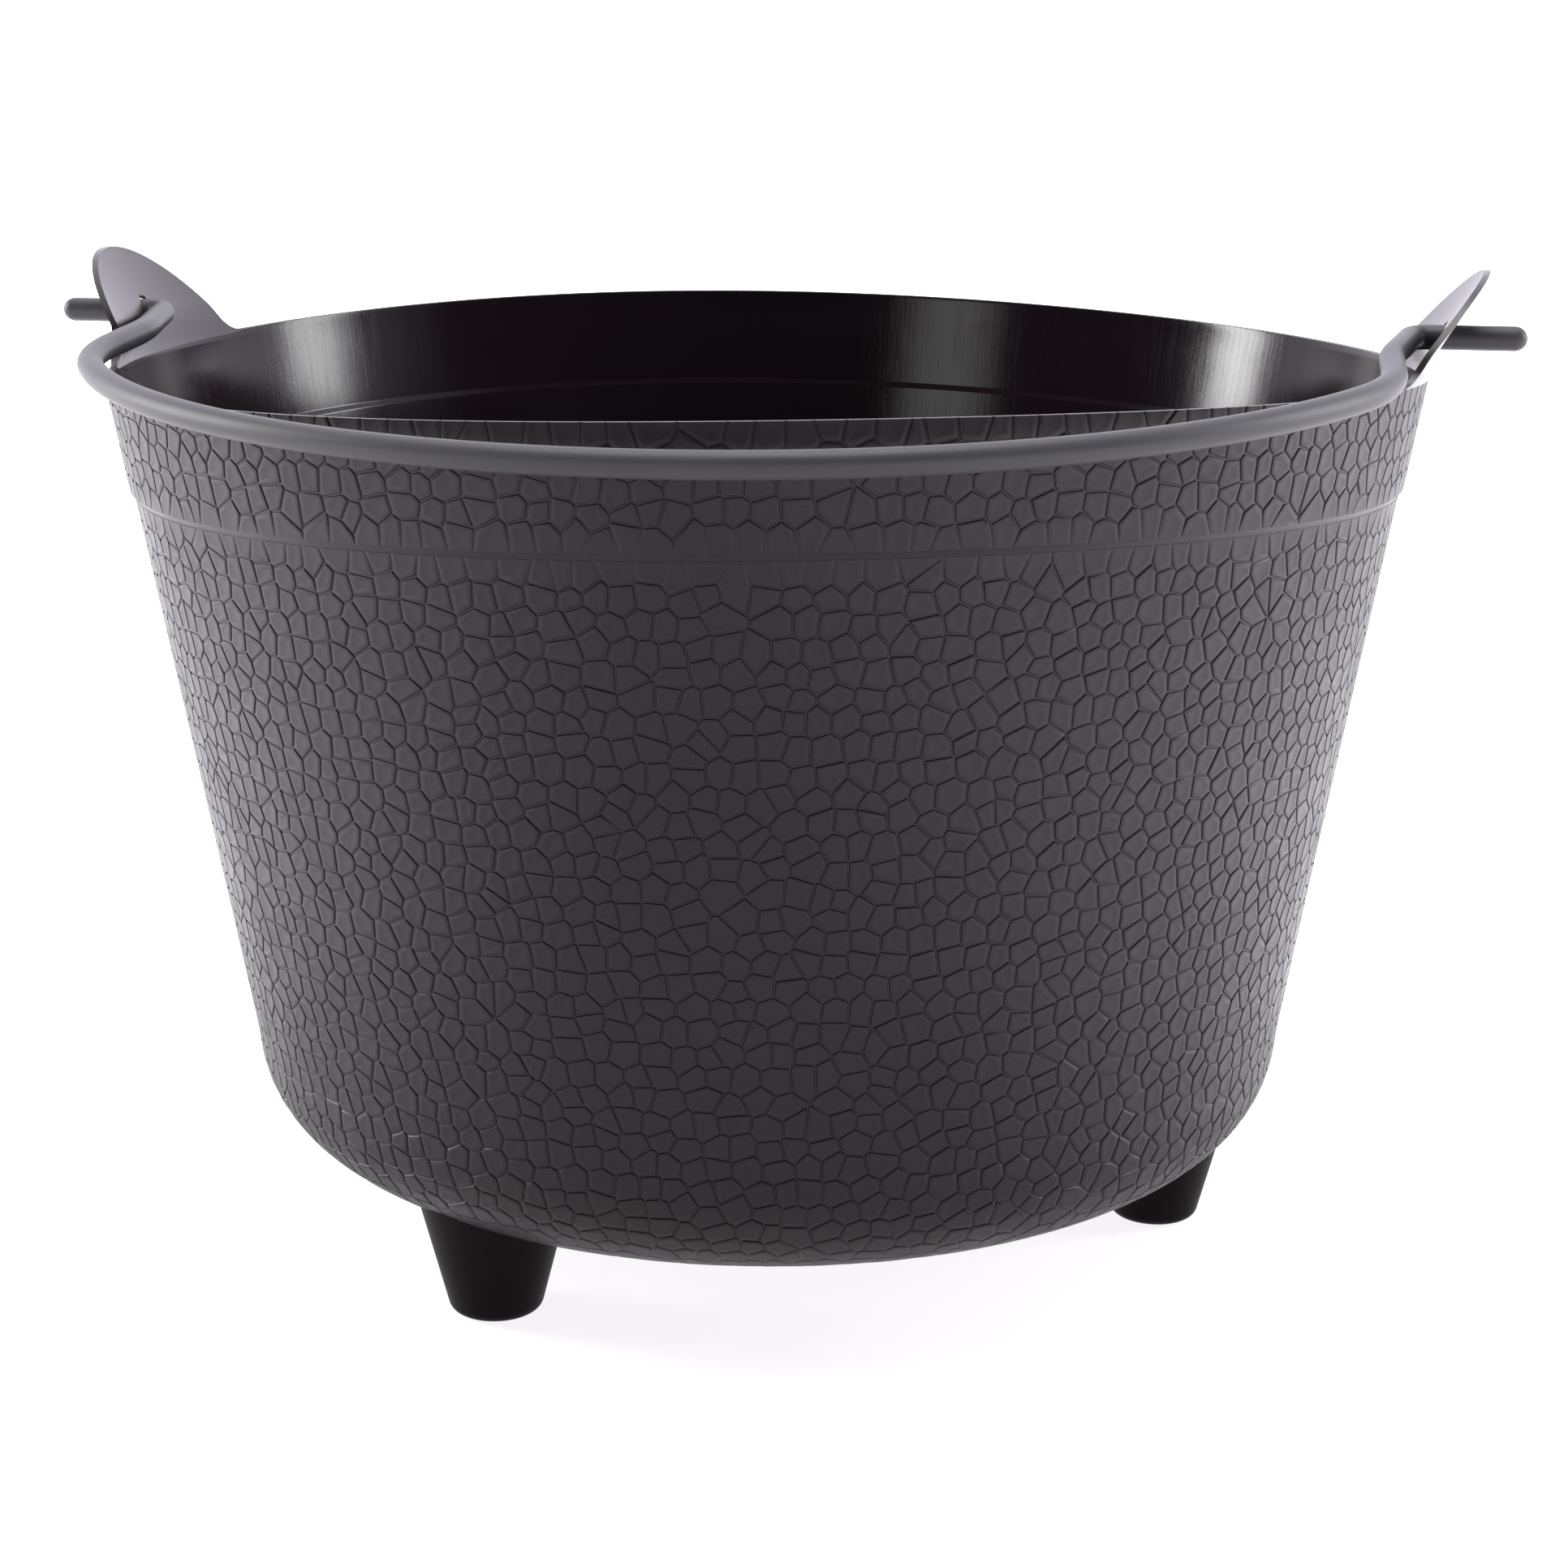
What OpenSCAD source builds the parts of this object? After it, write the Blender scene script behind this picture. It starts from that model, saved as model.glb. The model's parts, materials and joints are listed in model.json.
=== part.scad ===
// Three-footed plastic bucket with two ears and a swinging bail handle.
// The bucket is one thin moulding, drawn here as face-to-face zones, and the handle is the second piece.
// The origin is on the ground under the centre of the bucket: +Z is up, the ears are at +X and -X,
// and the handle rests at the front, towards -Y.

/* [Bucket] */
// Outer diameter at the rim
rim_d = 250; // [200:1:320]
// Outer diameter the wall would reach at the floor if the corner were sharp
base_d = 200; // [160:1:240]
// Height of the bucket from the underside of its floor to the rim
body_h = 156; // [120:1:220]
// Thickness of the wall
wall_t = 1.3; // [1:0.1:2.5]
// Thickness of the floor
floor_t = 1.6; // [1.2:0.1:3]
// Outer radius of the corner between wall and floor
corner_r = 23.5; // [12:0.5:30]

/* [Rim band] */
// Height of the slightly wider band below the rim
band_h = 22; // [10:1:40]
// How far the band stands out from the wall below it
band_step = 0.7; // [0.3:0.1:1]
// Height of the sloping step at the foot of the band
step_h = 0.8; // [0.4:0.1:2]

/* [Feet] */
// Height of the feet below the bucket floor
foot_h = 18; // [10:1:30]
// Diameter of the flat bottom of a foot, before its edge is rounded
foot_d = 17; // [12:0.5:22]
// Draft of a foot's side, in degrees from the vertical
foot_draft = 14.4; // [5:0.1:20]
// Radius of the circle that the feet stand on
foot_circle_r = 80.5; // [60:0.5:84]
// Rounding of the lower edge of a foot
foot_edge_r = 2.5; // [0.5:0.1:4]
// Wall of a hollow foot
foot_wall = 1.6; // [1.2:0.1:2.5]
// How far the conical pocket stops above a foot's underside
foot_sole = 2; // [1.5:0.1:4]

/* [Ears] */
// Outward lean of the ears, in degrees from the vertical
ear_lean = 32; // [10:1:35]
// Height of the ears above the rim
ear_h = 18.4; // [15:0.1:26]
// Radius of the ears' rounded outline
ear_r = 31; // [26:0.5:36]
// Radius of the hollow fillets where an ear's outline runs into the rim
ear_fillet_r = 6; // [3:0.5:9]
// Diameter of the holes in the ears
hole_d = 6.4; // [5.6:0.1:8]

/* [Handle] */
// Diameter of the handle's round bar
rod_d = 4.7; // [4:0.1:5.5]
// Height of the hinge axis above the rim
pin_h = 5.7; // [5.5:0.1:8]
// How far each pin reaches past the outer face of its ear
pin_reach = 16.3; // [8:0.1:22]
// Gap between an ear's inner face and the bar beside it, with the handle centred
elbow_gap = 1.3; // [1:0.1:3]
// How far the handle has slid along its hinge axis
handle_slide = -0.8; // [-0.8:0.1:0.8]
// Radius of the bends at the pins, to the middle of the bar
elbow_r = 3.6; // [3:0.1:5]
// Inward slant of the bar beside an ear, in degrees
arm_slant = 11; // [11:1:14]
// Length of the slanting stretch
arm_len = 16; // [14:0.5:20]
// Radius of the bend that ends the slant
jog_r = 45; // [30:1:60]
// Distance in front of the hinge axis at which the shoulder bend starts
shoulder_start = 41; // [38:1:48]
// Radius of the shoulder bends, to the middle of the bar
shoulder_r = 52; // [45:1:60]
// Gap between the rim and the inside of the handle at the front
front_gap = 6; // [3:0.5:10]
// Gap left between the resting bar and the rim
rest_gap = 0.3; // [0.1:0.1:1]

/* [Hidden] */
$fn = 96;

plastic = [0.17, 0.165, 0.175];
bar_plastic = [0.24, 0.235, 0.245];
arc_steps = 14;        // straight steps in each rounded corner of an outline
ear_steps = 28;        // straight steps round the top of an ear
overrun = 1;           // how far cutting shapes run past what they cut
join_gap = 0.1;        // the handle's straights and bends stop this far short of where they meet
collar_extra = 0.15;   // the collars that join them are this much larger in radius than the bar
collar_len = 1;        // length of a collar along the bar

rim_r = rim_d / 2;
rim_z = foot_h + body_h;
wall_r_top = rim_r - band_step;                    // the lower wall's line, carried up to the rim
wall_slope = (wall_r_top - base_d / 2) / body_h;   // radius gained per unit of height
wall_angle = atan(wall_slope);
corner_z = foot_h + corner_r;                      // height of the corner arc's centre
corner_c = wall_r(corner_z) - corner_r / cos(wall_angle);
seam_z = corner_z - corner_r * sin(wall_angle);    // where the corner arc meets the straight wall
band_z = rim_z - band_h;
ledge_z = band_z + wall_t;                         // the inner ledge follows the step one wall higher
floor_top_z = foot_h + floor_t;

foot_tan = tan(foot_draft);
foot_top_z = foot_h + corner_r / 2;                // inside the bucket, above the highest joint line
foot_edge_c = foot_r(foot_edge_r) - foot_edge_r / cos(foot_draft);

ear_tan = tan(ear_lean);
ear_centre_z = ear_h - ear_r;                      // outline's centre, measured from the rim
fillet_y = sqrt(pow(ear_r + ear_fillet_r, 2) - pow(ear_fillet_r - ear_centre_z, 2));
blend_angle = atan2(ear_fillet_r - ear_centre_z, fillet_y);
fillet_start = 262;                                // just short of level, so the fillet's toe has a face

rod_r = rod_d / 2;
pin_z = rim_z + pin_h;
ear_outer_x = rim_r + pin_h * ear_tan;             // outer face of an ear at the hinge axis
ear_inner_x = ear_outer_x - wall_t;
pin_tip_x = ear_outer_x + pin_reach;
// The handle lies in one plane: x is across, v is the distance in front of the hinge axis
arm_x = ear_inner_x - (rod_r + elbow_gap) / cos(ear_lean);
elbow_turn = 90 - arm_slant;
elbow_x = arm_x + elbow_r * sin(elbow_turn);
elbow_end_v = elbow_r * (1 - cos(elbow_turn));
slant_end_x = arm_x - arm_len * sin(arm_slant);
slant_end_v = elbow_end_v + arm_len * cos(arm_slant);
jog_x = slant_end_x + jog_r * cos(arm_slant);
jog_end_v = slant_end_v + jog_r * sin(arm_slant);
side_x = jog_x - jog_r;
shoulder_x = side_x - shoulder_r;
front_v = rim_r + rod_r + front_gap;
span_v = front_v - shoulder_start;
front_r = (pow(side_x, 2) - 2 * side_x * shoulder_r + pow(span_v, 2)) / (2 * (span_v - shoulder_r));
front_c = front_v - front_r;
join_angle = atan2(shoulder_start - front_c, shoulder_x);
join_x = front_r * cos(join_angle);
join_v = front_c + front_r * sin(join_angle);
// The handle droops until its bar would stand rest_gap above the rim where it crosses it
cross_x = side_x - abs(handle_slide);
cross_v = sqrt(pow(rim_r, 2) - pow(cross_x, 2)) + collar_len;
rest_droop = atan((pin_h - rod_r - collar_extra - rest_gap) / cross_v);

// Outer radius of the lower wall's straight line at height z
function wall_r(z) = wall_r_top - wall_slope * (rim_z - z);

// Outer radius of a foot's side at height z
function foot_r(z) = foot_d / 2 + foot_tan * z;

// Points along an arc, from angle a0 to a1
function arc(cx, cy, r, a0, a1, n) =
    [for (i = [0:n]) let (a = a0 + (a1 - a0) * i / n) [cx + r * cos(a), cy + r * sin(a)]];

// The corner's outer outline, from the flat floor up to the seam
function corner_outline() = arc(corner_c, corner_z, corner_r, -90, -wall_angle, arc_steps);

// Straight tapering wall with its wider band, from the seam to the rim
module bucket_wall() {
    color(plastic)
    rotate_extrude()
    polygon([
        [wall_r(seam_z) - wall_t, seam_z],
        [wall_r(seam_z), seam_z],
        [wall_r(band_z), band_z],
        [wall_r(band_z + step_h) + band_step, band_z + step_h],
        [rim_r, rim_z],
        [rim_r - wall_t, rim_z],
        [wall_r(ledge_z + step_h) + band_step - wall_t, ledge_z + step_h],
        [wall_r(ledge_z) - wall_t, ledge_z]
    ]);
}

// Floor with its rounded corner, open over the three hollow feet
module bucket_floor() {
    inner_r = corner_r - wall_t;
    inner_z = floor_top_z + inner_r;
    inner_c = wall_r(seam_z) - wall_t - inner_r;
    color(plastic)
    difference() {
        rotate_extrude()
        polygon(concat(
            [[0, foot_h]],
            corner_outline(),
            [[wall_r(seam_z) - wall_t, seam_z]],
            arc(inner_c, inner_z, inner_r, asin((seam_z - inner_z) / inner_r) - 2, -90, arc_steps),
            [[0, floor_top_z]]
        ));
        at_feet() foot_pocket();
    }
}

// Repeats its children at the places of all three feet
module at_feet() {
    for (a = [0, 120, 240])
        rotate(a) translate([foot_circle_r, 0, 0]) children();
}

// Conical pocket of a hollow foot, carried up through the floor
module foot_pocket() {
    low_r = foot_r(foot_sole) - foot_wall;
    high_r = foot_r(foot_top_z) - foot_wall;
    translate([0, 0, foot_sole]) cylinder(h = foot_top_z - foot_sole, r1 = low_r, r2 = high_r);
}

// One hollow foot at angle a, cut off where it meets the bucket's underside
module foot(a) {
    color(plastic)
    difference() {
        rotate(a) translate([foot_circle_r, 0, 0])
        rotate_extrude()
        polygon(concat(
            [[0, 0]],
            arc(foot_edge_c, foot_edge_r, foot_edge_r, -90, -foot_draft, arc_steps),
            [[foot_r(foot_top_z), foot_top_z], [0, foot_top_z]]
        ));
        rotate(a) translate([foot_circle_r, 0, 0]) foot_pocket();
        rotate_extrude()
        polygon(concat([[0, foot_h]], corner_outline(), [[0, seam_z]]));
    }
}

// Outline of an ear as seen from the side, with its base on the rim
module ear_outline() {
    half = concat(
        arc(fillet_y, ear_fillet_r, ear_fillet_r, fillet_start, 180 + blend_angle, arc_steps),
        [for (p = arc(0, ear_centre_z, ear_r, blend_angle, 90, ear_steps / 2)) if (p[1] > 0) p]
    );
    toe_y = half[0][0];
    right = [for (i = [0:len(half) - 2]) if (i != arc_steps) half[i]];
    left = [for (i = [len(right) - 1:-1:0]) [-right[i][0], right[i][1]]];
    polygon(concat([[toe_y, 0]], right, [[0, ear_h]], left, [[-toe_y, 0]]));
}

// Ear on the +X side: the rim's wall carried up and outwards, with the handle's hole
module ear() {
    color(plastic)
    difference() {
        intersection() {
            rotate_extrude()
            polygon([
                [rim_r - wall_t, rim_z],
                [rim_r, rim_z],
                [rim_r + ear_tan * (ear_h + overrun), rim_z + ear_h + overrun],
                [rim_r - wall_t + ear_tan * (ear_h + overrun), rim_z + ear_h + overrun]
            ]);
            translate([0, 0, rim_z]) rotate([90, 0, 90])
            linear_extrude(height = rim_d) ear_outline();
        }
        translate([0, 0, pin_z]) rotate([0, 90, 0])
        cylinder(h = rim_d, d = hole_d);
    }
}

// A bend of the handle's bar: centre [x, y], radius r, from angle a0 through the angle sweep
module bar_bend(x, y, r, a0, sweep) {
    gap_angle = join_gap / r * 180 / PI;
    translate([x, y, 0]) rotate(a0 + gap_angle)
    rotate_extrude(angle = sweep - 2 * gap_angle) translate([r, 0]) circle(r = rod_r);
}

// A straight of the handle's bar, running forwards from [x, y] and turned by angle a
module bar_straight(x, y, len, a) {
    translate([x, y, 0]) rotate(a) rotate([90, 0, 0])
    translate([0, 0, join_gap]) cylinder(h = len - 2 * join_gap, r = rod_r);
}

// Short collar, turned by angle a, that joins the straights and bends that end at [x, y]
module bar_join(x, y, a) {
    translate([x, y, 0]) rotate(a) rotate([90, 0, 0])
    translate([0, 0, -collar_len / 2]) cylinder(h = collar_len, r = rod_r + collar_extra);
}

// The half of the handle on the +X side, lying flat with its hinge axis on the X axis
module handle_side() {
    pin_len = pin_tip_x - rod_r - elbow_x;
    translate([elbow_x + pin_len, 0, 0]) sphere(r = rod_r + collar_extra);
    bar_straight(elbow_x, 0, pin_len, 90);
    bar_join(elbow_x, 0, 90);
    bar_bend(elbow_x, -elbow_r, elbow_r, 90, elbow_turn);
    bar_join(arm_x, -elbow_end_v, -arm_slant);
    bar_straight(arm_x, -elbow_end_v, arm_len, -arm_slant);
    bar_join(slant_end_x, -slant_end_v, -arm_slant);
    bar_bend(jog_x, -jog_end_v, jog_r, 180 - arm_slant, arm_slant);
    bar_join(side_x, -jog_end_v, 0);
    bar_straight(side_x, -jog_end_v, shoulder_start - jog_end_v, 0);
    bar_join(side_x, -shoulder_start, 0);
    bar_bend(shoulder_x, -shoulder_start, shoulder_r, -join_angle, join_angle);
    bar_join(join_x, -join_v, -join_angle);
}

// The whole handle at rest, drooping to the front
module bail_handle() {
    color(bar_plastic)
    translate([handle_slide, 0, pin_z]) rotate([rest_droop, 0, 0])
    union() {
        handle_side();
        mirror([1, 0, 0]) handle_side();
        bar_bend(0, -front_c, front_r, join_angle - 180, 180 - 2 * join_angle);
    }
}

bucket_wall();
bucket_floor();
mirror([1, 0, 0]) ear();  // ear_left
ear();  // ear_right
foot(0);  // foot_right
foot(240);  // foot_front_left
foot(120);  // foot_rear_left
bail_handle();
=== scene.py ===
"""Looks for the footed bucket with a bail handle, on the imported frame. All lengths are in metres."""

import json
import math
import random

import bpy
from bpy.props import FloatProperty, FloatVectorProperty, IntProperty, PointerProperty
from mathutils import Matrix, Vector


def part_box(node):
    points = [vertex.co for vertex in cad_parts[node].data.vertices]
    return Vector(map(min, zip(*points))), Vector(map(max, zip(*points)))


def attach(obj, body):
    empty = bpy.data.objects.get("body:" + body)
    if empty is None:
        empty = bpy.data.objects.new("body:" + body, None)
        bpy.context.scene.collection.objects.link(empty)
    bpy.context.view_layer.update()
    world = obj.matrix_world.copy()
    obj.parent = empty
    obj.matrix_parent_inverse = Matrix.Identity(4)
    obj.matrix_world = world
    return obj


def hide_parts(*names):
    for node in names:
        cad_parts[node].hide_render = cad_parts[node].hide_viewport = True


bl_info = {
    "name": "Footed Bucket",
    "version": (1, 0, 0),
    "blender": (4, 5, 0),
    "location": "3D View > Sidebar > Bucket",
    "description": "Builds the hammered bucket, its ears, feet and bail handle",
    "category": "Object",
}

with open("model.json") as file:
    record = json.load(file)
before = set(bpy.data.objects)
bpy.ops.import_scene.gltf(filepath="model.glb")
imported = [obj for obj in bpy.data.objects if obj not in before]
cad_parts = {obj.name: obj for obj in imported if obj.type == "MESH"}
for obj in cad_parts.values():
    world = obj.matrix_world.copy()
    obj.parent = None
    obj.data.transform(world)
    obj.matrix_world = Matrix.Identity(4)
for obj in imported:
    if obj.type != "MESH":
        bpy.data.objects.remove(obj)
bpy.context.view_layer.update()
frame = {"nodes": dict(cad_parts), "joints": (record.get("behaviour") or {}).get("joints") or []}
HINGE = Vector(frame["joints"][0]["pos_m"])
MM = 0.001

# Main places, read from the frame
WALL_LOW, WALL_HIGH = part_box("bucket_wall")
FLOOR_LOW, FLOOR_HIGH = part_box("bucket_floor")
BAR_LOW, BAR_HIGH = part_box("bail_handle")
RIM_R = WALL_HIGH.x
RIM_Z = WALL_HIGH.z
SEAM_Z = WALL_LOW.z
FLOOR_Z = FLOOR_LOW.z

# Profile of the moulding
WALL_T = 1.3 * MM
BAND_H = 22 * MM
BAND_STEP = 0.7 * MM
STEP_H = 0.8 * MM
WALL_SLOPE = 24.3 / 156
CORNER_R = 23.5 * MM
WALL_ANGLE = math.atan(WALL_SLOPE)
FOOT_CIRCLE = 80.5 * MM
FOOT_R = 8.5 * MM
FOOT_TAN = math.tan(math.radians(14.4))

# Ears
EAR_H = 18.4 * MM
EAR_R = 31 * MM
EAR_FILLET = 6 * MM
EAR_LEAN = math.radians(32)
EAR_TAN = math.tan(EAR_LEAN)
HOLE_R = 3.2 * MM

# Handle, in millimetres where it is a length
REST_DROOP = math.radians(4)
TIP_OUT = 16.3
ELBOW_GAP = 1.3
ARM_SLANT = math.radians(11)
ARM_LEN = 16
FRONT_GAP = 6

LIGHT_AIM = (0, 0, 0.1)
TURN = 2 * math.pi


# ---------------------------------------------------------------- sizes and colours that a user may change

class BucketSizes(bpy.types.PropertyGroup):
    pad_size: FloatProperty(name="Pad size", description="Width of one pad of the hammered texture",
                            default=4.75 * MM, min=0.002, max=0.02, unit="LENGTH")
    pad_scatter: FloatProperty(name="Pad scatter", description="How far pads stray from even rows",
                               default=0.27, min=0, max=0.45, subtype="FACTOR")
    groove_width: FloatProperty(name="Groove width", description="Width of the grooves between pads",
                                default=0.56 * MM, min=0.0001, max=0.002, unit="LENGTH")
    groove_depth: FloatProperty(name="Groove depth", description="Depth of the grooves between pads",
                                default=0.25 * MM, min=0, max=0.001, unit="LENGTH")
    dish_depth: FloatProperty(name="Pad dish", description="How far the middle of a pad is dished",
                              default=0.12 * MM, min=0, max=0.0005, unit="LENGTH")
    seed: IntProperty(name="Seed", description="Start of the texture's random numbers", default=11)
    rim_spread: FloatVectorProperty(name="Rim spread", description="How far the rim is sprung out of round, "
                                    "along the two directions of an oval", size=2,
                                    default=(1.40 * MM, 2.84 * MM), subtype="XYZ", unit="LENGTH")
    rim_sag: FloatVectorProperty(name="Rim sag", description="How far the rim dips and rises as it springs "
                                 "out of round", size=2, default=(-1.64 * MM, -1.46 * MM),
                                 subtype="XYZ", unit="LENGTH")


class HandleSizes(bpy.types.PropertyGroup):
    bar_diameter: FloatProperty(name="Bar diameter", description="Diameter of the handle's bar",
                                default=4.7 * MM, min=0.003, max=0.006, unit="LENGTH")
    parting_step: FloatProperty(name="Parting step", description="Step along the parting line of the bar",
                                default=0.07 * MM, min=0, max=0.0005, unit="LENGTH")


class BucketColours(bpy.types.PropertyGroup):
    plastic: FloatVectorProperty(name="Bucket plastic", description="Colour of the bucket moulding",
                                 size=3, default=(0.0082, 0.0048, 0.0066), min=0, max=1, subtype="COLOR")
    bar: FloatVectorProperty(name="Handle plastic", description="Colour of the handle",
                             size=3, default=(0.034, 0.033, 0.036), min=0, max=1, subtype="COLOR")
    floor: FloatVectorProperty(name="Floor", description="Colour of the studio floor",
                               size=3, default=(0.25, 0.25, 0.25), min=0, max=1, subtype="COLOR")


# ---------------------------------------------------------------- shader expressions

class Wire:
    """A value in a shader: arithmetic on it adds Math nodes to its tree."""

    def __init__(self, finish, socket):
        self.finish = finish
        self.socket = socket

    def _maths(self, operation, *values):
        return self.finish.node("ShaderNodeMath", {"operation": operation}, dict(enumerate(values)))

    def __add__(self, other):
        return self._maths("ADD", self, other)

    def __mul__(self, other):
        return self._maths("MULTIPLY", self, other)

    def angle_from(self, other):
        return self._maths("ARCTAN2", self, other)

    __radd__ = __add__
    __rmul__ = __mul__


class Finish:
    """A material or a light surround in the making: node() adds any node, shade() ends a material."""

    def __init__(self, name, library="materials"):
        self.material = getattr(bpy.data, library).new(name)
        self.material.use_nodes = True
        self.tree = self.material.node_tree
        self.tree.nodes.clear()

    def split(self, vector):
        parts = self.tree.nodes.new("ShaderNodeSeparateXYZ")
        self.tree.links.new(vector.socket, parts.inputs[0])
        return [Wire(self, out) for out in parts.outputs]

    def node(self, kind, settings=None, inputs=None, output=0):
        made = self.tree.nodes.new(kind)
        for key, value in (settings or {}).items():
            setattr(made, key, value)
        for key, value in (inputs or {}).items():
            if isinstance(value, Wire):
                self.tree.links.new(value.socket, made.inputs[key])
            else:
                made.inputs[key].default_value = value
        return Wire(self, made.outputs[output])

    def noise(self, vector, scale, detail=2.0, roughness=0.5):
        return self.node("ShaderNodeTexNoise", {}, {"Vector": vector, "Scale": scale, "Detail": detail,
                                                   "Roughness": roughness})

    def ramp(self, value, low, high, dark=0.0, light=1.0):
        return self.node("ShaderNodeMapRange", {}, {"Value": value, 1: low, 2: high, 3: dark, 4: light})

    def mix(self, factor, a, b):
        return self.node("ShaderNodeMix", {"data_type": "RGBA"}, {0: factor, 6: a, 7: b}, output=2)

    def bump(self, height, strength, distance, under=None):
        links = {"Height": height, "Strength": strength, "Distance": distance}
        if under is not None:
            links["Normal"] = under
        return self.node("ShaderNodeBump", {}, links)

    def shade(self, **inputs):
        named = {key.replace("_", " "): value for key, value in inputs.items()}
        shader = self.node("ShaderNodeBsdfPrincipled", {}, named)
        self.end(shader, "ShaderNodeOutputMaterial")
        return self.material

    def end(self, shader, kind):
        out = self.tree.nodes.new(kind)
        self.tree.links.new(shader.socket, out.inputs["Surface"])


def tint(colour, factor):
    return tuple(min(1.0, part * factor) for part in colour) + (1.0,)


def hammered_plastic(colour):
    """Satin outside of the moulding: fine grain, faint clouding and slightly uneven sheen."""
    f = Finish("hammered_plastic")
    place = f.node("ShaderNodeTexCoord", output=3)
    cloud = f.noise(place, 22.0, 3.0)
    fine = f.noise(place, 2600.0, 2.0, 0.6)
    scuff = f.noise(place, 140.0, 4.0, 0.7)
    base = f.mix(f.ramp(cloud, 0.35, 0.68), tint(colour, 0.86), tint(colour, 1.18))
    sheen = f.ramp(cloud * 0.5 + scuff * 0.5, 0.36, 0.64, 0.40, 0.50)
    grain = f.bump(fine, 0.35, 0.05 * MM)
    return f.shade(Base_Color=base, Roughness=sheen, Normal=grain, Specular_IOR_Level=0.24)


def polished_plastic(colour):
    """Glossy inside of the moulding, with the faint upright marks of the polished core."""
    f = Finish("polished_plastic")
    place = f.node("ShaderNodeTexCoord", output=3)
    x, y, z = f.split(place)
    round_wall = f.node("ShaderNodeCombineXYZ", {}, {0: x.angle_from(y) * 60.0, 1: z * 14.0, 2: 0.0})
    draw = f.noise(round_wall, 3.2, 5.0, 0.72)
    cloud = f.noise(place, 16.0, 3.0)
    base = f.mix(f.ramp(cloud, 0.35, 0.68), tint(colour, 0.8), tint(colour, 1.12))
    sheen = f.ramp(draw, 0.32, 0.70, 0.09, 0.20)
    marks = f.bump(draw, 0.30, 0.05 * MM)
    ripple = f.bump(f.noise(place, 38.0, 2.0), 0.25, 0.6 * MM, marks)
    return f.shade(Base_Color=base, Roughness=sheen, Normal=ripple, Specular_IOR_Level=0.2)


def satin_plastic(name, colour, sheen_low, sheen_high, gloss=0.5):
    """Plain satin moulded plastic with a fine speckled grain."""
    f = Finish(name)
    place = f.node("ShaderNodeTexCoord", output=3)
    cloud = f.noise(place, 30.0, 3.0)
    speck = f.noise(place, 3800.0, 2.0, 0.6)
    base = f.mix(f.ramp(cloud, 0.3, 0.7), tint(colour, 0.9), tint(colour, 1.12))
    sheen = f.ramp(cloud * 0.6 + speck * 0.4, 0.35, 0.65, sheen_low, sheen_high)
    grain = f.bump(speck, 0.30, 0.05 * MM)
    return f.shade(Base_Color=base, Roughness=sheen, Normal=grain, Specular_IOR_Level=gloss)


# ---------------------------------------------------------------- shape of the moulding

def wall_radius(z):
    """Outer radius of the lower wall's line at height z."""
    return RIM_R - BAND_STEP - WALL_SLOPE * (RIM_Z - z)


BAND_Z = RIM_Z - BAND_H
CORNER_Z = FLOOR_Z + CORNER_R
CORNER_C = wall_radius(CORNER_Z) - CORNER_R / math.cos(WALL_ANGLE)


def corner_point(angle, radius=CORNER_R):
    return CORNER_C + radius * math.cos(angle), CORNER_Z + radius * math.sin(angle)


def smooth(low, high, value):
    share = max(0.0, min(1.0, (value - low) / (high - low)))
    return share * share * (3 - 2 * share)


def sprung(r, z, angle, sizes, share=None):
    """A point of the moulding once the rim is sprung out of round, by its share of the way up."""
    if share is None:
        share = max(0.0, (z - SEAM_Z) / (RIM_Z - SEAM_Z))
    c, s = math.cos(2 * angle), math.sin(2 * angle)
    r += (sizes.rim_spread[0] * c + sizes.rim_spread[1] * s) * share
    z += (sizes.rim_sag[0] * c + sizes.rim_sag[1] * s) * share
    return Vector((r * math.cos(angle), r * math.sin(angle), z))


class Surface:
    """An outer outline laid flat: across is an angle, and down keeps pads in proportion."""

    def __init__(self, outline):
        self.points = [outline[0]]
        for a, b in zip(outline, outline[1:]):
            steps = max(1, int(math.hypot(b[0] - a[0], b[1] - a[1]) / (0.5 * MM)))
            self.points += [(a[0] + (b[0] - a[0]) * i / steps, a[1] + (b[1] - a[1]) * i / steps)
                            for i in range(1, steps + 1)]
        self.down = [0.0]
        for a, b in zip(self.points, self.points[1:]):
            self.down.append(self.down[-1] + math.hypot(b[0] - a[0], b[1] - a[1]) / ((a[0] + b[0]) / 2))
        self.end = self.down[-1]

    def at(self, down):
        """Radius, height and outward direction at a place down the outline."""
        low, high = 0, len(self.down) - 1
        down = max(0.0, min(self.end, down))
        while high - low > 1:
            middle = (low + high) // 2
            low, high = (middle, high) if self.down[middle] <= down else (low, middle)
        (r0, z0), (r1, z1) = self.points[low], self.points[high]
        share = (down - self.down[low]) / (self.down[high] - self.down[low])
        length = math.hypot(r1 - r0, z1 - z0)
        return r0 + (r1 - r0) * share, z0 + (z1 - z0) * share, (z0 - z1) / length, (r1 - r0) / length


def clip(polygon, nx, ny, limit):
    """The part of a convex polygon where nx * x + ny * y is at most limit."""
    kept = []
    before = polygon[-1]
    d0 = nx * before[0] + ny * before[1] - limit
    for point in polygon:
        d1 = nx * point[0] + ny * point[1] - limit
        if (d0 < 0) != (d1 < 0):
            share = d0 / (d0 - d1)
            kept.append((before[0] + (point[0] - before[0]) * share,
                         before[1] + (point[1] - before[1]) * share))
        if d1 < 0:
            kept.append(point)
        before, d0 = point, d1
    return kept


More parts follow.
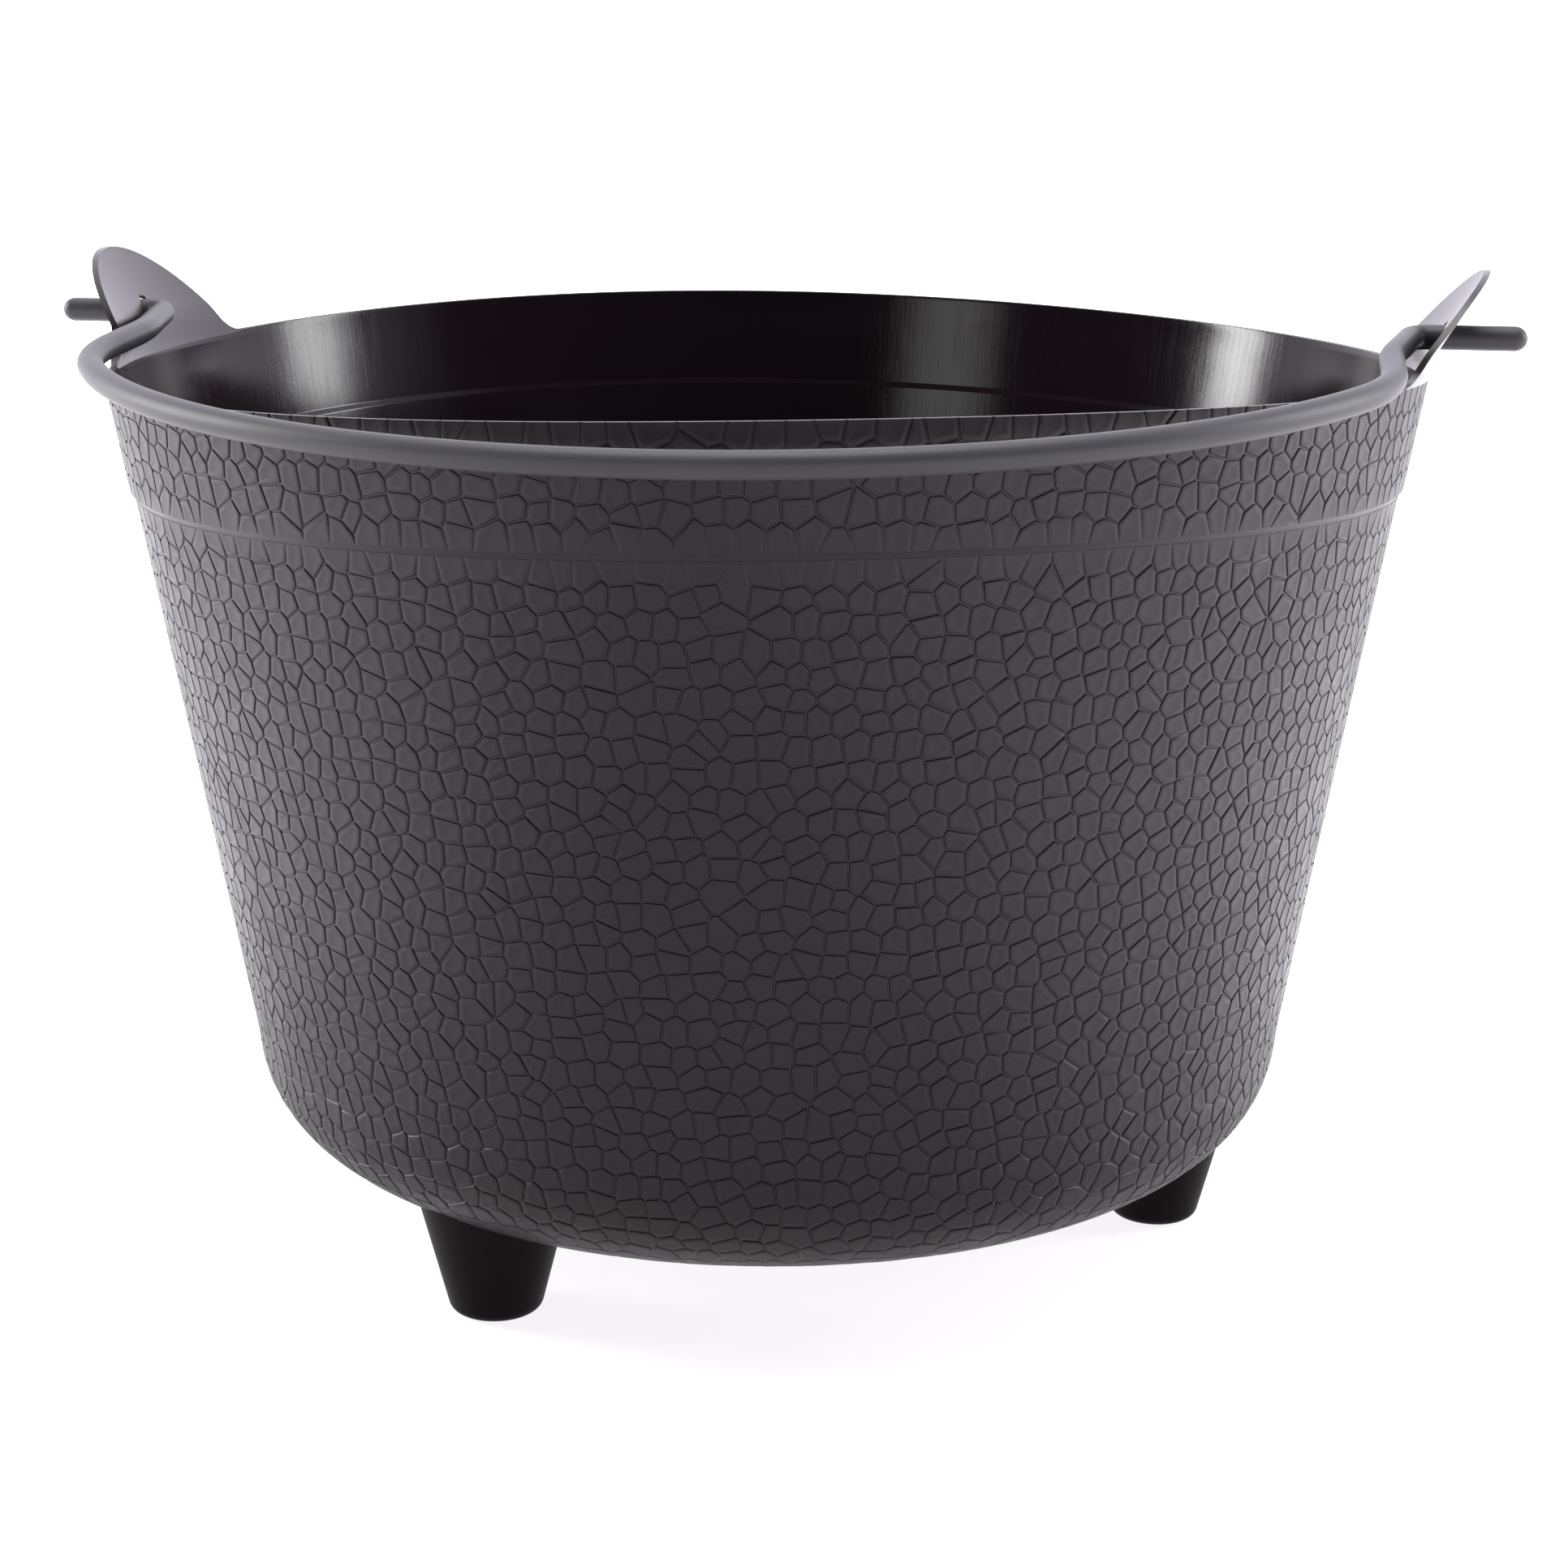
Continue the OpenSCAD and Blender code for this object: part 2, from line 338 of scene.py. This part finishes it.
def pad_seeds(surface, sizes, rng):
    """Rows of scattered seeds, one for each pad, as [angle, down] row by row."""
    rows, down = [], 0.0
    number = 0
    while True:
        r, z, _, _ = surface.at(down)
        step = sizes.pad_size * 0.90 / r
        down += step / 2
        if down > surface.end - step * 0.45:
            return rows
        count = round(TURN * r / sizes.pad_size)
        lean = rng.random()
        row = []
        for i in range(count):
            stray = sizes.pad_scatter * (1.5 if rng.random() < 0.2 else 1.0)
            if rng.random() < 0.02:
                continue
            across = (i + 0.5 * (number % 2) + 0.15 * lean + rng.uniform(-stray, stray)) / count
            row.append(((across % 1.0) * TURN, down + rng.uniform(-stray, stray) * step))
        rows.append(sorted(row))
        down += step / 2
        number += 1


def near_seeds(rows, number, angle, reach):
    """Seeds of this row and two rows on each side, within reach of an angle, as (across, down)."""
    found = []
    for row in rows[max(0, number - 2):number + 3]:
        pace = TURN / len(row)
        start = int((angle - reach) / pace) - 3
        for i in range(start, start + int(2 * reach / pace) + 8):
            gap = (row[i % len(row)][0] - angle + math.pi) % TURN - math.pi
            if abs(gap) < reach:
                found.append((gap, row[i % len(row)][1]))
    return found


class MeshBuilder:
    """Collects points and faces, and joins rings of points."""

    def __init__(self):
        self.points, self.faces, self.finish, self.shared = [], [], [], {}

    def point(self, place, key=None):
        if key is not None and key in self.shared:
            return self.shared[key]
        self.points.append(place)
        if key is not None:
            self.shared[key] = len(self.points) - 1
        return len(self.points) - 1

    def face(self, corners, finish=0):
        kept = [c for i, c in enumerate(corners) if c != corners[i - 1]]
        if len(kept) > 2:
            self.faces.append(kept)
            self.finish.append(finish)

    def grid(self, rows, finish=0, closed=True):
        for upper, lower in zip(rows, rows[1:]):
            for i in range(len(upper) if closed else len(upper) - 1):
                j = (i + 1) % len(upper)
                self.face((upper[i], lower[i], lower[j], upper[j]), finish)

    def join(self, outer, inner, finish=0):
        """Triangles between two rings, each a list of (angle, point) in order of angle."""
        a, b = sorted(outer), sorted(inner)
        i = j = 0
        while i < len(a) or j < len(b):
            next_a = a[(i + 1) % len(a)][0] + (TURN if i + 1 >= len(a) else 0)
            next_b = b[(j + 1) % len(b)][0] + (TURN if j + 1 >= len(b) else 0)
            if j >= len(b) or (i < len(a) and next_a <= next_b):
                self.face((a[i % len(a)][1], a[(i + 1) % len(a)][1], b[j % len(b)][1]), finish)
                i += 1
            else:
                self.face((a[i % len(a)][1], b[(j + 1) % len(b)][1], b[j % len(b)][1]), finish)
                j += 1

    def make(self, name, materials):
        mesh = bpy.data.meshes.new(name)
        mesh.from_pydata([tuple(p) for p in self.points], [], self.faces)
        for material in materials:
            mesh.materials.append(material)
        mesh.polygons.foreach_set("material_index", self.finish)
        mesh.polygons.foreach_set("use_smooth", [True] * len(mesh.polygons))
        mesh.update()
        made = bpy.data.objects.new(name, mesh)
        bpy.context.scene.collection.objects.link(made)
        return made


def in_a_foot(place, margin):
    """Whether a point is inside one of the three feet's cones, less a margin."""
    for angle in (0, TURN / 3, 2 * TURN / 3):
        away = math.hypot(place.x - FOOT_CIRCLE * math.cos(angle), place.y - FOOT_CIRCLE * math.sin(angle))
        if place.z < FLOOR_HIGH.z and away < FOOT_R + FOOT_TAN * place.z - margin:
            return True
    return False


def lay_pads(builds, surface, sizes, rng, depth_at, lift_at):
    """Covers an outline with pads, shared out by rows among builds.

    It returns the points along the outline's upper and lower edges.
    """
    rows = pad_seeds(surface, sizes, rng)
    top, bottom = {}, {}
    levels = ((0.55, 0.0, 1.0), (1.0, 0.0, 0.22), (1.0, 0.2 * MM, 0.0),
              (1.0, 0.95 * MM, dish_share(sizes) * 0.7))

    def place(angle, down, sink):
        r, z, out_r, out_z = surface.at(down)
        lift = lift_at(r, z) - sink * depth_at(r, z)
        return sprung(r + out_r * lift, z + out_z * lift, angle, sizes)

    for number, row in enumerate(rows):
        build = builds[number * len(builds) // len(rows)]
        for angle, down in row:
            r, z, _, _ = surface.at(down)
            if in_a_foot(sprung(r, z, angle, sizes), 1.2 * MM):
                continue
            reach = 2.6 * sizes.pad_size / r
            others = near_seeds(rows, number, angle, reach)
            half = sizes.groove_width / 2 / r
            cells = []
            for inset in [0.0] + [half * share + more / r for share, more, _ in levels]:
                under = surface.end - down
                cell = [(-reach, -down), (reach, -down), (reach, under), (-reach, under)]
                for dx, y in others:
                    dy = y - down
                    gap = math.hypot(dx, dy)
                    if 1e-9 < gap < reach:
                        cell = clip(cell, dx / gap, dy / gap, gap / 2 - inset)
                        if len(cell) < 3:
                            break
                if len(cell) < 3:
                    break
                cells.append(cell)
            if not cells:
                continue
            rim = []
            for x, y in cells[0]:
                key = (id(surface), round(((angle + x) % TURN) * 4e4), round((down + y) * 4e4))
                index = build.point(place(angle + x, down + y, 1.0), key)
                rim.append(((x, y), index))
                if down + y < 1e-7:
                    top[index] = (angle + x) % TURN
                elif down + y > surface.end - 1e-7:
                    bottom[index] = (angle + x) % TURN
            if len(cells) == 1:
                build.face([index for _, index in rim][::-1])
                continue
            mid_x = sum(x for x, _ in cells[-1]) / len(cells[-1])
            mid_y = sum(y for _, y in cells[-1]) / len(cells[-1])
            rings = [rim]
            for cell, (_, _, sink) in zip(cells[1:], levels):
                rings.append([((x, y), build.point(place(angle + x, down + y, sink))) for x, y in cell])
            turned = [[((math.atan2(y - mid_y, x - mid_x)) % TURN, index) for (x, y), index in ring]
                      for ring in rings]
            for outer, inner in zip(turned, turned[1:]):
                build.join(inner, outer)
            if len(cells) == len(levels) + 1:
                centre = build.point(place(angle + mid_x, down + mid_y, dish_share(sizes)))
                last = sorted(turned[-1])
                for i in range(len(last)):
                    build.face((centre, last[(i + 1) % len(last)][1], last[i][1]))
            else:
                build.face([index for _, index in sorted(turned[-1])][::-1])
    return [sorted((angle, index) for index, angle in edge.items()) for edge in (top, bottom)]


def dish_share(sizes):
    return sizes.dish_depth / max(sizes.groove_depth, 1e-6)


# ---------------------------------------------------------------- ears

def ear_outline():
    """Half of an ear's outline in side view as (across, up), from its toe on the rim to its top."""
    centre = EAR_H - EAR_R
    toe = math.sqrt((EAR_R + EAR_FILLET) ** 2 - (EAR_FILLET - centre) ** 2)
    blend = math.atan2(EAR_FILLET - centre, toe)
    start, end = math.radians(270), math.pi + blend
    half = [(toe + EAR_FILLET * math.cos(start + (end - start) * i / 10),
             EAR_FILLET + EAR_FILLET * math.sin(start + (end - start) * i / 10)) for i in range(11)]
    half += [(EAR_R * math.cos(blend + (math.pi / 2 - blend) * i / 26),
              centre + EAR_R * math.sin(blend + (math.pi / 2 - blend) * i / 26)) for i in range(1, 27)]
    return [(y, max(0.0, up)) for y, up in half]


def ear_place(side, across, up, inward, sizes):
    """A point on an ear: its root follows the sprung rim, and from the hole upwards it stands true."""
    follow = 1 - smooth(0.0, 5.5 * MM, up)
    r = RIM_R + EAR_TAN * up - inward
    angle = math.asin(max(-1, min(1, across / r)))
    if side < 0:
        angle = math.pi - angle
    return sprung(r, RIM_Z + up, angle, sizes, follow)


def burr(rng, size):
    return rng.uniform(0, 1) ** 3 * size


# ---------------------------------------------------------------- handle

def bar_path():
    """Half of the bar's middle line as (across, forward, direction), from a pin's tip to the front.

    It is worked out in millimetres and given in metres.
    """
    rod, rim = 2.35, RIM_R / MM
    ear_out = rim + (HINGE.z - RIM_Z) / MM * EAR_TAN
    tip = ear_out + TIP_OUT
    arm_x = ear_out - WALL_T / MM - (rod + ELBOW_GAP) / math.cos(EAR_LEAN)
    slant = ARM_SLANT
    turn = math.pi / 2 - slant
    elbow_r, jog_r, shoulder_r = 3.6, 45.0, 52.0
    elbow_x = arm_x + elbow_r * math.sin(turn)
    elbow_v = elbow_r * (1 - math.cos(turn))
    slant_x, slant_v = arm_x - ARM_LEN * math.sin(slant), elbow_v + ARM_LEN * math.cos(slant)
    jog_x, jog_v = slant_x + jog_r * math.cos(slant), slant_v + jog_r * math.sin(slant)
    side_x = jog_x - jog_r
    shoulder_x, shoulder_v = side_x - shoulder_r, 41.0
    front_v = rim + rod + FRONT_GAP
    span = front_v - shoulder_v
    front_r = (side_x ** 2 - 2 * side_x * shoulder_r + span ** 2) / (2 * (span - shoulder_r))
    front_c = front_v - front_r
    join = math.atan2(shoulder_v - front_c, shoulder_x)

    def arc(cx, cv, r, a0, a1, steps, side=1):
        return [(cx + r * math.cos(a0 + (a1 - a0) * i / steps), cv + r * math.sin(a0 + (a1 - a0) * i / steps),
                 side * math.pi / 2 + a0 + (a1 - a0) * i / steps) for i in range(steps + 1)]

    path = [(tip - rod, 0.0, math.pi), ((tip - rod + elbow_x) / 2, 0.0, math.pi)]
    path += arc(elbow_x, elbow_r, elbow_r, -math.pi / 2, -math.pi / 2 - turn, 12, -1)
    path += arc(jog_x, jog_v, jog_r, math.pi + slant, math.pi, 8, -1)
    path += arc(shoulder_x, shoulder_v, shoulder_r, 0, join, 16)
    path += arc(0, front_c, front_r, join, math.pi / 2, 40)[1:]
    return [(x * MM, v * MM, a) for x, v, a in path]


def bar_section(sizes, steps=24):
    """Outline of the bar as (outward, up) with a small step at its parting line."""
    r, step = sizes.bar_diameter / 2, sizes.parting_step
    points = []
    for i in range(steps):
        a = TURN * (i + 0.5) / steps
        size = r + (step / 2 if math.sin(a) > 0 else -step / 2)
        points.append((size * math.cos(a), size * math.sin(a)))
    return points


# ---------------------------------------------------------------- operators

class BUCKET_OT_body(bpy.types.Operator):
    """Make the hammered shell of the bucket, its smooth inside and its rim"""
    bl_idname = "bucket.body"
    bl_label = "Body"

    def execute(self, context):
        sizes, colours = context.scene.bucket_sizes, context.scene.bucket_colours
        rng = random.Random(sizes.seed)
        build, high, low = MeshBuilder(), MeshBuilder(), MeshBuilder()
        edge = (wall_radius(BAND_Z + STEP_H) + BAND_STEP, BAND_Z + STEP_H)
        ledge = (wall_radius(BAND_Z), BAND_Z)
        start = (wall_radius(BAND_Z - 0.5 * MM), BAND_Z - 0.5 * MM)
        band = Surface([(RIM_R, RIM_Z), edge])
        last = math.radians(-74)
        lower = Surface([start] + [corner_point(-WALL_ANGLE + (last + WALL_ANGLE) * i / 40)
                                   for i in range(41)])
        corner_top = SEAM_Z + 6 * MM
        fade_top, fade_end = corner_point(math.radians(-32))[1], corner_point(math.radians(-70))[1]

        def depth(r, z):
            return sizes.groove_depth * smooth(fade_end, fade_top, z) \
                * (1 - 0.75 * smooth(start[1] - 1.2 * MM, start[1], z))

        def lift(r, z):
            return (depth(r, z) + 0.04 * MM) * (1 - smooth(SEAM_Z, corner_top, z)) \
                - 0.12 * MM * (1 - smooth(fade_end - 0.4 * MM, fade_end + 0.6 * MM, z))

        def band_depth(r, z):
            return sizes.groove_depth * (0.25 + 0.75 * smooth(edge[1], edge[1] + 1.2 * MM, z))

        rim_edge, band_edge = lay_pads([build], band, sizes, rng, band_depth, lambda r, z: 0.0)
        lower_edge, _ = lay_pads([high, low], lower, sizes, rng, depth, lift)

        count = 288

        def ring(r, z, made=build):
            return [made.point(sprung(r, z, TURN * i / count, sizes)) for i in range(count)]

        def with_angles(ring_points):
            return [(TURN * i / count, p) for i, p in enumerate(ring_points)]

        lip = 0.18 * MM
        ledge_in = BAND_Z + WALL_T
        step_in = (wall_radius(ledge_in + STEP_H) + BAND_STEP - WALL_T, ledge_in + STEP_H)
        inside = [(RIM_R - WALL_T + lip, RIM_Z), (RIM_R - WALL_T + 0.3 * lip, RIM_Z - 0.3 * lip),
                  (RIM_R - WALL_T, RIM_Z - lip), (RIM_R - WALL_T - 0.05 * MM, RIM_Z - 1.5 * MM)]
        inside += [(step_in[0] + (RIM_R - WALL_T - step_in[0]) * s, step_in[1] + (RIM_Z - step_in[1]) * s)
                   for s in (0.7, 0.4, 0.1)]
        soft = 0.25 * MM
        inside += [(step_in[0] + soft * 0.15, step_in[1] + soft), step_in,
                   (wall_radius(ledge_in) - WALL_T, ledge_in),
                   (wall_radius(ledge_in - soft) - WALL_T, ledge_in - soft)]
        inside += [(wall_radius(z) - WALL_T, z) for z in (ledge_in - 20 * MM, ledge_in - 50 * MM,
                                                          ledge_in - 80 * MM, SEAM_Z)]
        rings = [ring(r, z) for r, z in inside]
        build.join(with_angles(rings[0]), rim_edge)
        build.grid(rings, finish=1)
        sunk = sizes.groove_depth / 4
        strip = (edge[0] - sunk, edge[1])
        toe = (start[0] - sunk, start[1] + 0.1 * MM)
        step_rings = [ring(*strip), ring(ledge[0] + 0.03 * MM, ledge[1]), ring(*toe)]
        build.join(band_edge, with_angles(step_rings[0]))
        build.grid(step_rings)
        high.join(with_angles(ring(*toe, high)), lower_edge)
        finishes = [hammered_plastic(colours.plastic), polished_plastic(colours.plastic)]
        for name, made in (("bucket_band", build), ("bucket_wall_high", high), ("bucket_wall_low", low)):
            piece = made.make(name, finishes)
            sharp_edges(piece, 40)
            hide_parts("bucket_wall")
            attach(piece, "bucket")
        return {"FINISHED"}


class BUCKET_OT_ears(bpy.types.Operator):
    """Make the two ears that carry the handle"""
    bl_idname = "bucket.ears"
    bl_label = "Ears"

    def execute(self, context):
        sizes, colours = context.scene.bucket_sizes, context.scene.bucket_colours
        finish = satin_plastic("ear_plastic", colours.plastic, 0.26, 0.36, 0.34)
        half = ear_outline()
        for name, side in (("ear_right", 1), ("ear_left", -1)):
            rng = random.Random(sizes.seed + side)
            build = MeshBuilder()
            base = [(half[0][0] * (1 - 2 * i / 36), -0.4 * MM) for i in range(1, 36)]
            left = [(-y, up) for y, up in half]
            loop = half + left[-2::-1] + base[::-1]
            hole = [(0.0, HINGE.z - RIM_Z)] * len(loop)
            rings = {0.0: [], WALL_T: []}
            for inward, kept in rings.items():
                for share in (0.0, 0.03, 0.12, 0.3, 0.5, 0.7, 0.88, 0.97, 1.0):
                    row = []
                    for (y, up), (hy, hup) in zip(loop, hole):
                        a = math.atan2(up - hup, y - hy)
                        ragged = burr(rng, 0.5 * MM) if share == 0.0 else 0.0
                        iy = hy + (HOLE_R - ragged) * math.cos(a)
                        iup = hup + (HOLE_R - ragged) * math.sin(a)
                        across, height = iy + (y - iy) * share, iup + (up - iup) * share
                        row.append(build.point(ear_place(side, across, height, inward, sizes)))
                    kept.append(row)
            outer, inner = rings[0.0], rings[WALL_T]
            if side > 0:
                build.grid(outer)
                build.grid(inner[::-1])
                build.grid([outer[-1], inner[-1]])
                build.grid([inner[0], outer[0]])
            else:
                build.grid(outer[::-1])
                build.grid(inner)
                build.grid([inner[-1], outer[-1]])
                build.grid([outer[0], inner[0]])
            ear = build.make(name + "_plate", [finish])
            sharp_edges(ear, 50)
            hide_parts(name)
            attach(ear, "bucket")
        return {"FINISHED"}


def sharp_edges(made, degrees):
    """Keeps corners crisper than an angle while the rest shades smooth."""
    made.data.set_sharp_from_angle(angle=math.radians(degrees))


class BUCKET_OT_feet(bpy.types.Operator):
    """Give the floor and the three feet their finish, the feet darkened with painted shade"""
    bl_idname = "bucket.feet"
    bl_label = "Floor and Feet"

    def execute(self, context):
        colours = context.scene.bucket_colours
        # The feet take the bucket plastic darkened to 0.6 of its colour: painted shade for their place under
        # the bucket.
        foot = satin_plastic("foot_plastic_painted_shade", tint(colours.plastic, 0.6)[:3], 0.42, 0.52, 0.05)
        floor = satin_plastic("floor_plastic", colours.plastic, 0.30, 0.40, 0.3)
        for name in ("foot_right", "foot_front_left", "foot_rear_left", "bucket_floor"):
            node = frame["nodes"][name]
            for place in node.material_slots:
                place.material = floor if name == "bucket_floor" else foot
        return {"FINISHED"}


class BUCKET_OT_handle(bpy.types.Operator):
    """Make the bail handle with its pins"""
    bl_idname = "bucket.handle"
    bl_label = "Handle"

    def execute(self, context):
        sizes, colours = context.scene.handle_sizes, context.scene.bucket_colours
        build = MeshBuilder()
        half = bar_path()
        whole = half + [(-x, v, -a) for x, v, a in half[-2::-1]]
        middle_x = (BAR_LOW.x + BAR_HIGH.x) / 2
        droop = Matrix.Rotation(REST_DROOP, 4, "X")
        section = bar_section(sizes)

        def ring(x, v, a, size):
            out_x, out_v = math.sin(a), -math.cos(a)
            row = []
            for outward, up in section:
                flat = Vector((x + out_x * outward * size, -(v + out_v * outward * size), up * size))
                row.append(build.point(droop @ flat + Vector((middle_x, 0, HINGE.z))))
            return row

        rings = []
        r = sizes.bar_diameter / 2
        for i in range(1, 7):
            a = math.pi / 2 * i / 7
            rings.append(ring(whole[0][0] + r * math.cos(a), 0, math.pi, math.sin(a)))
        rings += [ring(x, v, a, 1) for x, v, a in whole]
        for i in range(6, 0, -1):
            a = math.pi / 2 * i / 7
            rings.append(ring(whole[-1][0] - r * math.cos(a), 0, whole[-1][2], math.sin(a)))
        build.grid(rings)
        build.face(rings[0])
        build.face(rings[-1][::-1])
        bar = build.make("handle_bar", [satin_plastic("handle_plastic", colours.bar, 0.40, 0.52, 0.22)])
        sharp_edges(bar, 35)
        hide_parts("bail_handle")
        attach(bar, "handle")
        return {"FINISHED"}


def area_light(name, place, width, height, power):
    """A softbox aimed at the middle of the bucket's lower half."""
    data = bpy.data.lights.new(name, "AREA")
    data.shape, data.size, data.size_y, data.energy = "RECTANGLE", width, height, power
    made = bpy.data.objects.new(name, data)
    made.location = place
    made.rotation_euler = (Vector(LIGHT_AIM) - Vector(place)).to_track_quat("-Z", "Y").to_euler()
    bpy.context.scene.collection.objects.link(made)
    return made


class BUCKET_OT_stage(bpy.types.Operator):
    """Set up the pale floor with its painted glow, the soft studio light and the camera"""
    bl_idname = "bucket.stage"
    bl_label = "Stage"

    def execute(self, context):
        scene, colours = context.scene, context.scene.bucket_colours
        mesh = bpy.data.meshes.new("studio_floor")
        mesh.from_pydata([(-6, -6, 0), (6, -6, 0), (6, 6, 0), (-6, 6, 0)], [], [(0, 1, 2, 3)])
        floor = bpy.data.objects.new("studio_floor", mesh)
        scene.collection.objects.link(floor)
        floor.location.z = -0.2 * MM
        # The floor glows by emission, which is painted glow. It is dimmer in a strip from under the bucket
        # toward the camera (painted shade) and brighter further out.
        f = Finish("floor_painted_glow")
        x, y, _ = f.split(f.node("ShaderNodeTexCoord", output=3))
        lit = f.ramp(x * x, 0.012, 0.07) + f.ramp(y, 0.0, 0.2)
        painted_floor_glow = f.mix(lit, (0.30, 0.29, 0.30, 1), (0.96, 0.94, 1, 1))
        mesh.materials.append(f.shade(Base_Color=tint(colours.floor, 1.0), Roughness=0.9,
                                      Specular_IOR_Level=0.1, Emission_Color=painted_floor_glow, Emission_Strength=3.0))

        w = Finish("studio", "worlds")
        _, y, _ = w.split(w.node("ShaderNodeTexCoord", output=0))
        glow = w.ramp(y, -0.25, 0.40, 0.05, 2.4)
        w.end(w.node("ShaderNodeBackground", {}, {"Color": (0.97, 0.95, 1.06, 1), "Strength": glow}),
              "ShaderNodeOutputWorld")
        scene.world = w.material

        area_light("softbox_left", (-1.6, 0.05, 0.55), 0.35, 1.0, 36)
        area_light("softbox_right", (1.5, 0.5, 0.55), 0.35, 1.0, 22)
        area_light("softbox_front", (-0.48, -1.15, 0.42), 0.36, 0.3, 1.3)
        area_light("softbox_top", (0, -0.1, 1.8), 1.2, 1.2, 38)

        data = bpy.data.cameras.new("studio_camera")
        data.sensor_width = 36
        data.lens = 68.77
        data.shift_x, data.shift_y = 0.0096, 0.001
        data.clip_start, data.clip_end = 0.01, 50
        camera = bpy.data.objects.new("studio_camera", data)
        swing, pitch, roll = math.radians(9.5), 0.2458, 0.005
        away, above = 0.58996, 0.06061
        back = Vector((math.sin(swing) * math.cos(pitch), -math.cos(swing) * math.cos(pitch),
                       math.sin(pitch)))
        right = Vector((math.cos(swing), math.sin(swing), 0))
        up = back.cross(right)
        right, up = (right * math.cos(roll) + up * math.sin(roll),
                     up * math.cos(roll) - right * math.sin(roll))
        turn = Matrix((right, up, back)).transposed().to_4x4()
        place = Vector((away * math.sin(swing), -away * math.cos(swing), RIM_Z + above))
        camera.matrix_world = Matrix.Translation(place) @ turn
        scene.collection.objects.link(camera)
        scene.camera = camera
        scene.view_settings.view_transform = "Standard"
        return {"FINISHED"}


class BUCKET_PT_panel(bpy.types.Panel):
    """Sizes, colours and steps of the bucket"""
    bl_idname = "BUCKET_PT_panel"
    bl_label = "Footed Bucket"
    bl_space_type = "VIEW_3D"
    bl_region_type = "UI"
    bl_category = "Bucket"

    def draw(self, context):
        scene = context.scene
        for group in (scene.bucket_sizes, scene.handle_sizes, scene.bucket_colours):
            for name in group.__annotations__:
                self.layout.prop(group, name)
        for step in STEPS:
            self.layout.operator(step.bl_idname)


GROUPS = {"bucket_sizes": BucketSizes, "handle_sizes": HandleSizes, "bucket_colours": BucketColours}
STEPS = (BUCKET_OT_body, BUCKET_OT_ears, BUCKET_OT_feet, BUCKET_OT_handle, BUCKET_OT_stage)


def register():
    for kind in (*GROUPS.values(), *STEPS, BUCKET_PT_panel):
        bpy.utils.register_class(kind)
    for name, kind in GROUPS.items():
        setattr(bpy.types.Scene, name, PointerProperty(type=kind))


def unregister():
    for name in GROUPS:
        delattr(bpy.types.Scene, name)
    for kind in (BUCKET_PT_panel, *reversed(STEPS), *reversed(list(GROUPS.values()))):
        bpy.utils.unregister_class(kind)


def main():
    register()
    bpy.ops.bucket.body()
    bpy.ops.bucket.ears()
    bpy.ops.bucket.feet()
    bpy.ops.bucket.handle()
    bpy.ops.bucket.stage()


if __name__ == "__main__":
    main()
